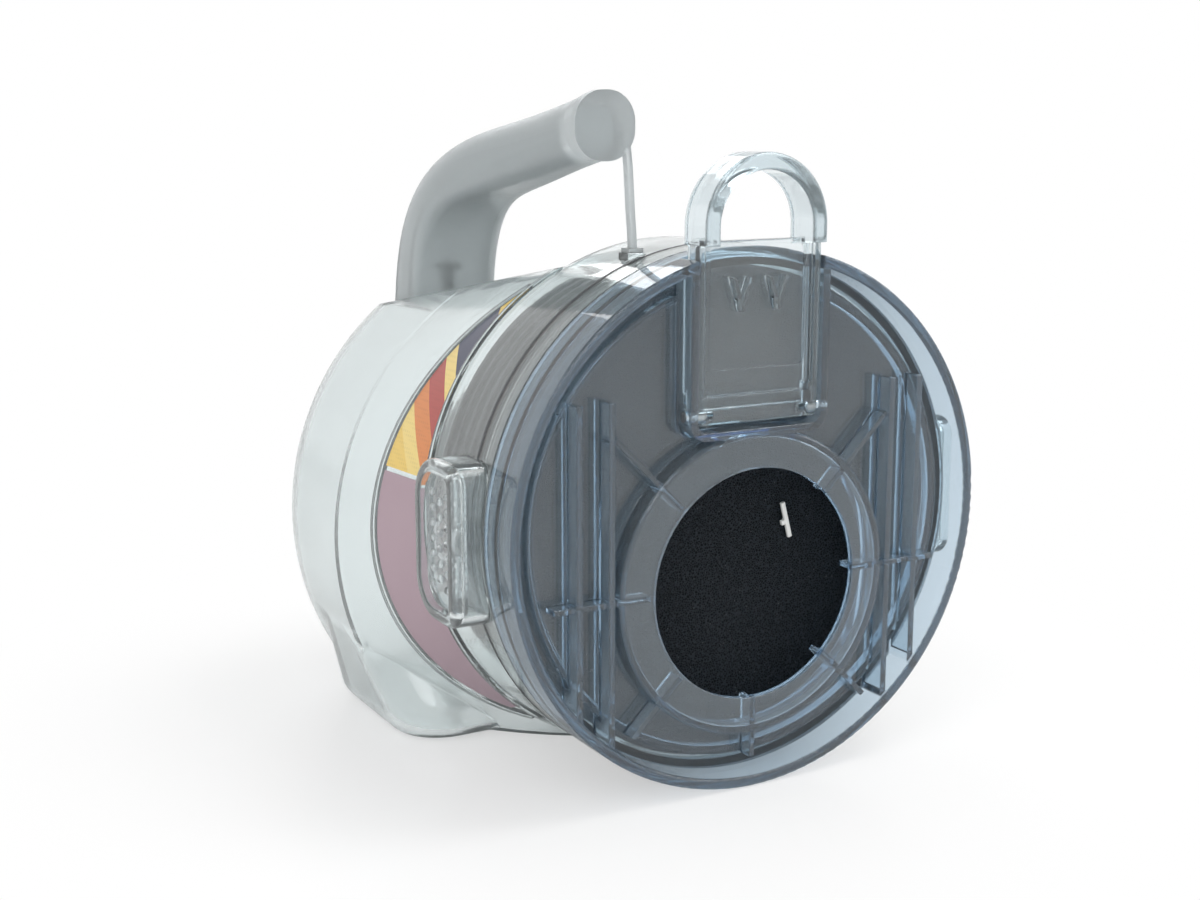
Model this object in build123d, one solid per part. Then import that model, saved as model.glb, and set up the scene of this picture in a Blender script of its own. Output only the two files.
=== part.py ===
"""Cyclone dust bin: a clear drum with a pull-off filter lid, a frosted handle and two side grips.

Every piece is drawn about the lid's axis: X to the right, Y to the back from the lid's front rim,
Z up from the axis. PLACE then moves them so that the middle of the foot is the origin.
Sizes are in millimetres.
"""
import os
from math import cos, radians, sin

from build123d import *

# Lid
LID_R = 75.0            # outside of the lid's skirt, and of the neck behind it
SKIRT_Y = 16.0          # depth of the skirt
SKIRT_T = 3.0
FACE_Y = 7.0            # front of the face plate
PLATE_T = 2.0
STEP_R = LID_R - 8.0    # the face plate steps back outside this radius
STEP_Y = 10.0
OUTLET_R = 32.4         # air hole
OUTLET_Z = -16.7
BOSS_R = 42.9
BOSS_Y = 0.6            # front of the boss
RIB_T = 1.5
RIB_REACH = 62.0
RAIL_X = (45.2, 54.8)
RAIL_TOP = 37.0

# Pull lever and its pocket
POCKET_HALF = 22.0
POCKET_Z = 24.5
POCKET_WALL = 2.2
LEVER_GAP = 0.6
PLATE_Y = (2.6, 5.0)
LOOP_TOP = LID_R + 25.0
LOOP_T = 4.6
LOOP_Y = (-2.0, 10.0)
PIN_R = 1.5
PIN_Y = 4.2
PIN_Z = 31.0

# Bin shell
WALL = 2.2
SPIGOT_Y = 12.6
SPIGOT_R = LID_R - 3.4
SPIGOT_T = 1.6
NECK_Y = 51.0
SEAM_Y = 25.7
DRUM_Y = 98.0
DRUM_END = 160.0
DRUM_R = 86.0
DRUM_Z = -16.5
DRUM_ROUND = 28.0
FOOT_HALF = DRUM_R - 12.0
FOOT_Y = (60.0, 142.0)
FOOT_TOP = -30.0
FOOT_CORNER = 22.0      # corners of the foot, seen from below
FOOT_EDGE = 8.0         # round edge between the foot's sole and its sides
BEAD = 0.9              # raised beads around the label's crescent
CRESCENT_X = 42.0       # the crescent's tip, left of the middle
CRESCENT_LEAN = 0.58
STRUT_AT = (-22.7, 30.4)  # foot of the handle's front strut
STRUT_Z = LID_R - 2.4
STRUT_T = 1.6
LAND_AT = (-35.0, 120.0, 55.5)
LAND_TILT = (-0.137, 0.17, 1.0)
INLET_W = 46.0
INLET_H = 26.0
INLET_Z = -42.0

# Side grips
GRIP_Y = 29.8
GRIP_Z = -1.0
GRIP_LONG = 26.0
GRIP_TALL = 44.0
GRIP_TOP = LID_R + 8.5
GRIP_LIP = LID_R + 5.0
BUTTON_TOP = LID_R + 6.2
BUMP_R = 1.1

# Inner pieces
FOAM_R = LID_R - 5.6
FOAM_Y = (12.0, 22.4)
BASKET_R = LID_R - 15.0
BASKET_END = 48.0
SHROUD_R = 36.0
SHROUD_END = 112.0
SHROUD_Z = -8.0
CONE_END = 150.0

FOOT_MID = (FOOT_Y[0] + FOOT_Y[1]) / 2
PLACE = Location((0, -FOOT_MID, LID_R))
BIG = 400.0


def ycyl(r, y0, y1, x=0.0, z=0.0):
    """A cylinder along Y between two depths."""
    return Pos(x, (y0 + y1) / 2, z) * Rot(90, 0, 0) * Cylinder(r, y1 - y0)


def ytube(r_out, r_in, y0, y1, x=0.0, z=0.0):
    """A tube along Y between two depths."""
    return ycyl(r_out, y0, y1, x, z) - ycyl(r_in, y0 - 1, y1 + 1, x, z)


def block(x0, x1, y0, y1, z0, z1):
    """A box between two corners."""
    return Pos((x0 + x1) / 2, (y0 + y1) / 2, (z0 + z1) / 2) * Box(x1 - x0, y1 - y0, z1 - z0)


def yprism(face, y0, y1):
    """A flat shape drawn in X and Z, given depth from y0 to y1."""
    plane = Plane(origin=(0, y1, 0), x_dir=(1, 0, 0), z_dir=(0, -1, 0))
    return extrude(plane * face, y1 - y0)


def xprism(face, x0, x1):
    """A flat shape drawn in Y and Z, given width from x0 to x1."""
    plane = Plane(origin=(x0, 0, 0), x_dir=(0, 1, 0), z_dir=(1, 0, 0))
    return extrude(plane * face, x1 - x0)


def ring_face(y, z, r):
    """A round section across the barrel."""
    return Plane(origin=(0, y, z), x_dir=(1, 0, 0), z_dir=(0, 1, 0)) * Circle(r)


def below_land(drop):
    """Everything under the handle's flat land, lowered by a wall thickness."""
    tilt = Vector(*LAND_TILT).normalized()
    at = Vector(*LAND_AT) - tilt * drop
    plane = Plane(origin=at, x_dir=(1, 0, -LAND_TILT[0]), z_dir=tilt)
    return plane * (Pos(0, 0, -BIG / 2) * Box(BIG, BIG, BIG))


def foot_face(z, y0, y1, half):
    """A level section of the foot, round at its corners."""
    return Pos(0, (y0 + y1) / 2, z) * RectangleRounded(2 * half, y1 - y0, min(FOOT_CORNER, (y1 - y0) / 2 - 1))


def shoulder_skin(proud):
    """The shoulder between neck and drum, made a little proud of the shell."""
    return loft([ring_face(NECK_Y, 0, LID_R + proud), ring_face(DRUM_Y, DRUM_Z, DRUM_R + proud)],
                ruled=True)


def crescent(y_off):
    """Everything in front of a slanted plane that cuts a crescent off the shoulder's left side."""
    tip = NECK_Y + 2 + y_off
    lean = Polyline((-BIG, tip + CRESCENT_LEAN * (BIG - CRESCENT_X)), (-CRESCENT_X, tip),
                    (-CRESCENT_X, -BIG), (-BIG, -BIG), close=True)
    return extrude(Pos(0, 0, -BIG / 2) * make_face(lean), BIG)


def drum_body(inset):
    """The shoulder, drum and foot as one lump, all faces moved in by the inset."""
    shoulder = shoulder_skin(-inset)
    drum = ycyl(DRUM_R - inset, DRUM_Y, DRUM_END - inset, 0, DRUM_Z)
    rear = drum.edges().filter_by(GeomType.CIRCLE).sort_by(Axis.Y)[-1]
    drum = fillet(rear, DRUM_ROUND - inset)
    sole = foot_face(-LID_R + inset, FOOT_Y[0] + 1.3 * inset, FOOT_Y[1] - inset, FOOT_HALF - inset)
    top = foot_face(FOOT_TOP - inset, DRUM_Y + 1.3 * inset, FOOT_Y[1] - inset, DRUM_R - 1.6 - inset)
    foot = loft([sole, top], ruled=True)
    foot = fillet(foot.faces().sort_by(Axis.Z)[0].edges(), FOOT_EDGE - inset)
    lump = shoulder + drum + foot
    lump = lump & block(-BIG, BIG, -BIG, BIG, -LID_R + inset, BIG)
    return lump & below_land(inset)


def grip_face(inset):
    """The D shape of a side grip, straight to the lid and round to the back."""
    flat = Rectangle(GRIP_LONG - 2 * inset, GRIP_TALL - 2 * inset)
    ends = flat.vertices().sort_by(Axis.X)
    flat = fillet(ends[2:], 12.0 - inset)
    ends = flat.vertices().sort_by(Axis.X)
    flat = fillet(ends[:2], max(6.0 - inset, 0.6))
    return Pos(GRIP_Y, GRIP_Z) * flat


def whole_shell():
    """Clear shell: spigot, neck, shoulder, drum, foot, handle land and grip frames."""
    neck = ycyl(LID_R, SKIRT_Y + 0.5, NECK_Y)
    spigot = ytube(SPIGOT_R, SPIGOT_R - SPIGOT_T, SPIGOT_Y, SEAM_Y + 4)
    step = ytube(LID_R - 1, SPIGOT_R - SPIGOT_T, SKIRT_Y + 0.5, SKIRT_Y + 2.5)
    ledge = ytube(LID_R - 1, LID_R - 9.5, SEAM_Y - 1.0, SEAM_Y + 1.2)
    shell = neck + drum_body(0.0)
    shell = shell - drum_body(WALL)
    shell = shell - ycyl(LID_R - WALL, 0, NECK_Y)
    shell = shell + spigot + step + ledge
    shell = shell - ytube(LID_R + 1, LID_R - 1.3, SEAM_Y - 0.5, SEAM_Y + 0.5)
    for turn in (0, 180):
        frame = xprism(grip_face(0.0), LID_R - 5, GRIP_TOP)
        rim = frame.faces().sort_by(Axis.X)[-1].edges()
        frame = fillet(rim, 2.0)
        frame = frame - xprism(grip_face(2.2), 0, GRIP_LIP) - xprism(grip_face(3.4), 0, GRIP_TOP + 1)
        frame = frame - ycyl(LID_R - 0.6, -10, BIG / 2)
        groove = xprism(grip_face(0.0), LID_R - 8, LID_R + 4)
        groove = groove & ytube(LID_R, LID_R - 1.6, SEAM_Y - 0.6, SEAM_Y + 0.6)
        if turn:
            frame = mirror(frame, Plane.YZ)
            groove = mirror(groove, Plane.YZ)
        shell = shell + groove + frame
    port = Pos(0, INLET_Z) * RectangleRounded(INLET_W, INLET_H, 9)
    shell = shell - yprism(port, DRUM_END - 20, DRUM_END + 10)
    x, y = STRUT_AT
    seat = block(x - 2.8, x + 2.6, y - 2.6, y + 2.6, 60.0, STRUT_Z)
    seat = seat - ycyl(LID_R - 1.0, 0, NECK_Y)
    shell = shell + seat
    beads = (shoulder_skin(BEAD) - shoulder_skin(-0.5)) & below_land(0.0)
    hoop = beads & block(-BIG, BIG, NECK_Y + 0.6, NECK_Y + 2.2, -LID_R, BIG)
    bow = beads & (crescent(1.8) - crescent(0.0))
    bow = bow & block(-BIG, -CRESCENT_X, NECK_Y + 1.0, DRUM_Y - 2, -LID_R, BIG)
    return shell + hoop + bow + mirror(bow, Plane.YZ)


def bin_shell(shell):
    """Front moulding of the shell: spigot, neck, shoulder and the front of the foot."""
    return shell & block(-BIG, BIG, -BIG, DRUM_Y, -BIG, BIG)


def bin_drum(shell):
    """Rear moulding of the shell: the drum, welded to the front one at its largest ring."""
    return shell & block(-BIG, BIG, DRUM_Y, BIG, -BIG, BIG)


def seam_gasket():
    """Thin dark ring in the neck's groove, broken at the two grips."""
    ring = ytube(LID_R + 0.05, LID_R - 1.3, SEAM_Y - 0.5, SEAM_Y + 0.5)
    for turn in (0, 180):
        gap = xprism(grip_face(0.0), 50, BIG / 2)
        ring = ring - (mirror(gap, Plane.YZ) if turn else gap)
    return ring


def section(at, ahead, w, h, r):
    """One rounded section of the handle, square to its run."""
    plane = Plane(origin=at, x_dir=(1, 0, 0), z_dir=ahead)
    return plane * RectangleRounded(w, h, r)


def handle_run(t):
    """The arm and grip as one lofted bar, thinned by t on every side."""
    stops = [
        ((-35.0, 131.0, 40.0), (0, -0.18, 1), 30.0, 16.0, 3.4),
        ((-35.0, 126.5, 66.0), (0, -0.26, 1), 29.6, 15.6, 4.0),
        ((-34.6, 117.0, 82.0), (0, -0.85, 1), 29.0, 15.2, 5.0),
        ((-34.2, 99.0, 92.0), (0, -1, 0.40), 27.0, 16.5, 6.0),
        ((-33.2, 74.0, 98.0), (0, -1, 0.26), 22.5, 17.6, 7.0),
        ((-32.4, 46.0, 103.6), (0, -1, 0.22), 17.5, 17.4, 7.5),
        ((-32.0, 36.0, 105.7), (0, -1, 0.20), 17.0, 17.4, 7.5),
    ]
    faces = [section(at, go, w - 2 * t, h - 2 * t, r - t) for at, go, w, h, r in stops]
    return loft(faces)


def handle():
    """Frosted handle: hollow arm and grip on the land, and the thin strut to the neck."""
    bar = handle_run(0.0)
    core = handle_run(2.0) & block(-BIG, BIG, 40.0, BIG, -BIG, BIG)
    above = block(-BIG, BIG, 0, BIG, 0, BIG) - below_land(0.0)
    bar = (bar - core) & above
    x, y = STRUT_AT
    mouth = Plane(origin=(-32.0, 36.0, 105.7), x_dir=(1, 0, 0), z_dir=(0, -1, 0.20))
    lip = Plane(origin=(-31.8, y + 1.2, 106.6), x_dir=(1, 0, 0), z_dir=(0, -1, 0))
    flare = loft([mouth * RectangleRounded(17.0, 17.4, 7.5), lip * RectangleRounded(18.4, 18.8, 8.4)],
                 ruled=True)
    flange = yprism(Pos(-31.8, 106.6) * RectangleRounded(18.4, 18.8, 8.4), y - 1.2, y + 1.2)
    edge = Spline((x, STRUT_Z), (x - 0.7, 84.0), (x - 1.3, 94.0), (x - 2.4, 103.0),
                  tangents=((0, 1), (-0.2, 1)))
    band = make_face([edge, Line(edge @ 1, edge @ 1 + Vector(STRUT_T, 0)),
                      Pos(STRUT_T, 0) * edge, Line(edge @ 0 + Vector(STRUT_T, 0), edge @ 0)])
    strut = yprism(Pos(-STRUT_T / 2, 0) * band, y - 1.2, y + 1.2)
    pad = block(x - 2.2, x + 2.2, y - 2.2, y + 2.2, STRUT_Z, STRUT_Z + 1.2)
    return bar + flare + flange + strut + pad


def lid_shell():
    """Bluish clear lid with its boss, ribs, rails, step ring and lever pocket."""
    skirt = ytube(LID_R, LID_R - SKIRT_T, 0, SKIRT_Y)
    skirt = fillet(skirt.edges().filter_by(GeomType.CIRCLE).group_by(Axis.Y)[0], 0.8)
    inner = LID_R - SKIRT_T + 0.5
    plate = ycyl(STEP_R, FACE_Y, FACE_Y + PLATE_T)
    wall = ytube(STEP_R, STEP_R - PLATE_T, FACE_Y, STEP_Y + PLATE_T)
    outer = ytube(inner, STEP_R - PLATE_T, STEP_Y, STEP_Y + PLATE_T)
    boss = ycyl(BOSS_R, BOSS_Y, FACE_Y + PLATE_T, 0, OUTLET_Z)
    boss = fillet(boss.edges().filter_by(GeomType.CIRCLE).sort_by(Axis.Y)[0], 1.2)
    hollow = ycyl(BOSS_R - PLATE_T, BOSS_Y + PLATE_T, FACE_Y + PLATE_T + 1, 0, OUTLET_Z)
    lid = skirt + plate + wall + outer + boss - hollow
    inside = ycyl(inner, 0.8, STEP_Y + 0.5)
    for k in range(8):
        if k == 2:
            continue
        arm = Pos(RIB_REACH / 2, 0) * Rectangle(RIB_REACH, RIB_T)
        arm = Pos(0, OUTLET_Z) * Rot(0, 0, 45 * k) * arm
        rib = yprism(arm, BOSS_Y + 1.2, FACE_Y + 0.5)
        lid = lid + (rib & ycyl(STEP_R, 0, FACE_Y + 1) & inside)
    for x in RAIL_X:
        for side in (-1, 1):
            rail = block(side * x - 0.9, side * x + 0.9, 1.2, STEP_Y + 0.5, -BIG, RAIL_TOP)
            lid = lid + (rail & ycyl(LID_R - SKIRT_T + 0.4, 0.8, STEP_Y + 0.5))
    lid = lid - ycyl(OUTLET_R, -1, FACE_Y + PLATE_T + 1, 0, OUTLET_Z)
    lid = lid - ycyl(OUTLET_R + 0.8, BOSS_Y + PLATE_T, FACE_Y + PLATE_T + 1, 0, OUTLET_Z)
    tall = LID_R + 6 - POCKET_Z
    outline = Pos(0, POCKET_Z + tall / 2) * RectangleRounded(2 * POCKET_HALF, tall, 5.0)
    cavity = Pos(0, POCKET_Z + POCKET_WALL + tall / 2) * RectangleRounded(
        2 * (POCKET_HALF - POCKET_WALL), tall, 3.0)
    cup = yprism(outline, 0.4, STEP_Y + PLATE_T) & ycyl(LID_R - 0.4, 0, STEP_Y + PLATE_T)
    lid = lid + cup
    lid = lid - yprism(cavity, -1, STEP_Y)
    for side in (-1, 1):
        hole = Pos(side * POCKET_HALF, PIN_Y, PIN_Z) * Rot(0, 90, 0) * Cylinder(PIN_R, 2 * POCKET_WALL + 2)
        lid = lid - hole
    return lid


def lid_seal():
    """Soft lip seal in the lid, against the front of the spigot."""
    return ytube(LID_R - SKIRT_T, FOAM_R + 0.5, STEP_Y + PLATE_T, STEP_Y + PLATE_T + 0.3)


def lever_pin(side):
    """Short steel pin through the pocket's wall into the lever's lug."""
    long = 6.0
    x = side * (POCKET_HALF - long / 2 + 0.2)
    return Pos(x, PIN_Y, PIN_Z) * Rot(0, 90, 0) * Cylinder(PIN_R, long)


def pull_lever():
    """Plate, lower bar, V ribs and lugs, with the stirrup loop above the rim."""
    half = POCKET_HALF - POCKET_WALL - LEVER_GAP
    low = PIN_Z - 2.6
    neck = LID_R + 0.9
    plate = block(-half, half, PLATE_Y[0], PLATE_Y[1], low, neck + 1.2)
    for side in (-1, 1):
        x0, x1 = sorted((side * half, side * (half - 1.8)))
        plate = plate + block(x0, x1, PLATE_Y[0] - 1.2, PLATE_Y[1] + 2.4, PIN_Z + 6, neck + 1.2)
        x0, x1 = sorted((side * half, side * (half - 3.0)))
        lug = Pos((x0 + x1) / 2, PIN_Y, PIN_Z) * Rot(0, 90, 0) * Cylinder(2.6, x1 - x0)
        plate = plate + lug + block(x0, x1, PIN_Y - 2.6, PIN_Y + 2.6, PIN_Z, PIN_Z + 7)
    plate = plate + block(-half + 1, half - 1, PLATE_Y[0] - 1.4, PLATE_Y[1] + 1.0, PIN_Z + 1.5, PIN_Z + 5.0)
    rest = Pos(0, (PIN_Z + 12 + neck) / 2) * RectangleRounded(2 * half - 8, neck - PIN_Z - 12, 2.0)
    plate = plate - yprism(rest, PLATE_Y[0] - 0.1, PLATE_Y[0] + 0.7)
    for x in (-6.2, 5.4):
        vee = Polyline((x - 3.2, 67.5), (x - 1.9, 67.5), (x, 61.6), (x + 1.9, 67.5), (x + 3.2, 67.5),
                       (x + 0.5, 58.4), (x - 0.5, 58.4), close=True)
        plate = plate + yprism(make_face(vee), PLATE_Y[0] - 2.0, PLATE_Y[0] + 1.0)
    mid = LOOP_TOP - half
    bow = Pos(0, mid) * (Circle(half) + Pos(0, -half) * Rectangle(2 * half, 2 * half))
    arch = yprism(bow, *LOOP_Y) & block(-BIG, BIG, *LOOP_Y, neck, BIG)
    hand = half - LOOP_T
    arch = arch - yprism(Pos(0, mid) * Circle(hand), -BIG, BIG) - block(-hand, hand, -BIG, BIG, neck - 5, mid)
    fronts = arch.faces().sort_by(Axis.Y)
    arch = fillet(fronts[0].edges() + fronts[-1].edges(), 1.2)
    lever = plate + arch
    for side in (-1, 1):
        x = side * (half - 1.5)
        lever = lever - Pos(x, PIN_Y, PIN_Z) * Rot(0, 90, 0) * Cylinder(PIN_R + 0.06, 8)
    return lever


def grip_button(side):
    """Press cap of a side grip: flange, cap, three rows of bumps, hollow for its spring."""
    foot = LID_R + 3.6
    cap = xprism(grip_face(2.6), foot, foot + 0.9) + xprism(grip_face(3.8), foot + 0.4, BUTTON_TOP)
    for row in (-1, 0, 1):
        for k in range(7):
            y = GRIP_Y + row * 4.4
            z = GRIP_Z + (k - 3) * 4.2 + (2.1 if row == 0 else 0)
            if row == 0 and k == 6:
                continue
            cap = cap + Pos(BUTTON_TOP, y, z) * Sphere(BUMP_R)
    cap = cap - Pos(foot + 0.3, GRIP_Y, GRIP_Z) * Rot(0, 90, 0) * Cylinder(5.6, 1.8)
    return mirror(cap, Plane.YZ) if side < 0 else cap


def grip_spring(side):
    """Small coil between the neck and a press cap."""
    coil = Helix(pitch=1.4, height=4.0, radius=4.4)
    wire = sweep(Plane(origin=coil @ 0, z_dir=coil % 0) * Circle(0.32), path=coil)
    wire = Pos(LID_R + 0.4, GRIP_Y, GRIP_Z) * Rot(0, 90, 0) * wire
    return mirror(wire, Plane.YZ) if side < 0 else wire


def foam_filter():
    """Black foam disc behind the lid's face."""
    return ycyl(FOAM_R, FOAM_Y[0], FOAM_Y[1])


def foam_tag():
    """White T-shaped tag pin pushed into the foam."""
    at = Pos(16.4, FOAM_Y[0] - 1.1, -2.6) * Rot(0, -15, 0)
    bar = fillet(Box(1.4, 1.1, 10.4).edges().filter_by(Axis.Z), 0.4)
    nub = Pos(-1.1, 0, -0.4) * Box(1.4, 1.0, 1.3)
    stem = ycyl(0.5, FOAM_Y[0] - 1.2, FOAM_Y[0], 16.4, -2.6)
    return at * (bar + nub) + stem


def filter_basket():
    """Dark cup behind the foam, with slots in its wall and a hole in its floor."""
    flange = ytube(FOAM_R, BASKET_R - 1.6, FOAM_Y[1] + 0.4, SEAM_Y - 1.0)
    cup = ytube(BASKET_R, BASKET_R - 1.6, FOAM_Y[1] + 0.4, BASKET_END)
    floor = ytube(BASKET_R, 16.0, BASKET_END - 1.8, BASKET_END)
    cup = flange + cup + floor
    for k in range(20):
        slot = Rot(0, 18 * k, 0) * block(-3.4, 3.4, 30.0, 42.0, BASKET_R - 6, BASKET_R + 4)
        cup = cup - slot
    for k in range(6):
        spoke = Rot(0, 60 * k + 15, 0) * block(-1.0, 1.0, FOAM_Y[1] + 0.4, 26.0, 0, BASKET_R - 1)
        cup = cup + spoke
    return cup


def shroud_mesh():
    """Perforated sleeve around the vortex tube."""
    tube = ytube(SHROUD_R, SHROUD_R - 1.5, BASKET_END, SHROUD_END, 0, SHROUD_Z)
    for k in range(15):
        for row in range(5):
            hole = Pos(0, BASKET_END + 11 + 10 * row, SHROUD_R) * Cylinder(3.4, 12)
            hole = Rot(0, 24 * k + 12 * (row % 2), 0) * hole
            tube = tube - Pos(0, 0, SHROUD_Z) * hole
    return tube


def vortex_tube():
    """Outlet tube down the middle of the shroud, held by the basket's floor."""
    tube = ytube(15.8, 14.0, BASKET_END - 1.8, 92.0)
    return tube + ytube(20.0, 14.0, BASKET_END, BASKET_END + 1.6)


def cyclone_cone():
    """Skirt and cone that close the shroud's far end."""
    long = CONE_END - SHROUD_END
    place = Pos(0, SHROUD_END + long / 2, SHROUD_Z) * Rot(-90, 0, 0)
    outer = place * Cone(46.0, 24.0, long)
    inner = place * Cone(44.4, 22.4, long + 0.02)
    disc = ytube(46.0, 8.0, SHROUD_END, SHROUD_END + 1.6, 0, SHROUD_Z)
    tail = ycyl(24.0, CONE_END - 1.6, CONE_END, 0, SHROUD_Z)
    peg = ycyl(6.0, CONE_END, DRUM_END - WALL, 0, SHROUD_Z)
    return (outer - inner) + disc + tail + peg


def label(a0, a1):
    """A thin film in the left crescent of the shoulder, between two angles round the axis."""
    film = (shoulder_skin(0.3) - shoulder_skin(0.0)) & crescent(0.0) & below_land(0.0)
    film = film & block(-BIG, -CRESCENT_X - 1, NECK_Y + 2.2, DRUM_Y, -LID_R, BIG)
    far = 300.0
    wedge = Polyline((0, 0), *[(far * cos(radians(a)), far * sin(radians(a)))
                               for a in (a0, (a0 + a1) / 2, a1)], close=True)
    return film & yprism(make_face(wedge), 0, BIG)


def inlet_gasket():
    """Soft ring around the inlet port in the rear wall."""
    wide = Pos(0, INLET_Z) * RectangleRounded(INLET_W + 8, INLET_H + 8, 13)
    hole = Pos(0, INLET_Z) * RectangleRounded(INLET_W, INLET_H, 9)
    return yprism(wide, DRUM_END, DRUM_END + 3) - yprism(hole, DRUM_END - 1, DRUM_END + 4)


os.makedirs("parts", exist_ok=True)
SHELL = whole_shell()
PARTS = {
    "bin_shell": bin_shell(SHELL),
    "bin_drum": bin_drum(SHELL),
    "seam_gasket": seam_gasket(),
    "handle": handle(),
    "label_art": label(100, 172),
    "label_panel": label(173, 232),
    "inlet_gasket": inlet_gasket(),
    "filter_basket": filter_basket(),
    "shroud_mesh": shroud_mesh(),
    "vortex_tube": vortex_tube(),
    "cyclone_cone": cyclone_cone(),
    "lid_shell": lid_shell(),
    "lid_seal": lid_seal(),
    "lever_pin_left": lever_pin(-1),
    "lever_pin_right": lever_pin(1),
    "pull_lever": pull_lever(),
    "foam_filter": foam_filter(),
    "foam_tag": foam_tag(),
    "grip_button_left": grip_button(-1),
    "grip_button_right": grip_button(1),
    "grip_spring_left": grip_spring(-1),
    "grip_spring_right": grip_spring(1),
}
for name, solid in PARTS.items():
    export_step(PLACE * solid, f"parts/{name}.step")
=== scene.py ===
"""Looks for a cyclone dust bin: clear body, blue clear lid, frosted handle, foam filter and films."""

from __future__ import annotations

import logging
import math
from dataclasses import dataclass
from dataclasses import field
from enum import Enum
from typing import Callable

import bmesh
import bpy
from mathutils import Matrix
from mathutils import Vector

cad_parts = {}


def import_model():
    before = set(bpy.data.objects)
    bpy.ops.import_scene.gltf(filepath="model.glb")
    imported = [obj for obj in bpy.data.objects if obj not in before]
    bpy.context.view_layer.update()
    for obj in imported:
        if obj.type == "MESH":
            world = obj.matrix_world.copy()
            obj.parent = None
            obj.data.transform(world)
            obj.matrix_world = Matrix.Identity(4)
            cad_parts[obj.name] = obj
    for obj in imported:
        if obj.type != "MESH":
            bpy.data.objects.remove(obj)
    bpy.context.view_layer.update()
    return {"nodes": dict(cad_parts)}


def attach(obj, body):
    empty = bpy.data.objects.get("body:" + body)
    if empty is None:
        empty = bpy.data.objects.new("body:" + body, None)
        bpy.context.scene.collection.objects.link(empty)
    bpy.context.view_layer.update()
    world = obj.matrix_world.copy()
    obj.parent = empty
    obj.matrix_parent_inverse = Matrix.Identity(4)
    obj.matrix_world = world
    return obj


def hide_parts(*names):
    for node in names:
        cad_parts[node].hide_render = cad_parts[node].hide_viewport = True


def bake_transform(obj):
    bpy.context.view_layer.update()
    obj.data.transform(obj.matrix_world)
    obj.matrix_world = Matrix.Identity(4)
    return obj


LOG = logging.getLogger("dust_bin")
# One millimetre in metres, and the distance in millimetres under which loose corners are welded.
MM = 0.001
WELD = 0.001
# The lid's axis and the front of its rim, in metres, from which the added pieces are measured.
LID_AXIS = Vector((0.0, 0.0, 0.075))
RIM_FRONT = -0.101
# The turn that lays a cylinder along the lid's axis.
ALONG_AXIS = (math.pi / 2, 0.0, 0.0)
# Steps in a rounded edge, and how squarely a face has to point to be picked by its normal.
EDGE_STEPS = 2
FACING = 0.9
Point = tuple[float, float, float]
Colour = tuple[float, float, float]
Range = tuple[float, float]
Socket = bpy.types.NodeSocket


class Body(Enum):
    """The bodies that the added pieces ride on."""

    BIN = "bin"
    LID = "lid"
    GRIP_LEFT = "grip_left"
    GRIP_RIGHT = "grip_right"


def spot(x: float, y: float, z: float) -> Vector:
    """Gives a place measured in mm from the lid's axis and rim front, as a point in metres."""
    return LID_AXIS + Vector((x * MM, y * MM + RIM_FRONT, z * MM))


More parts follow.
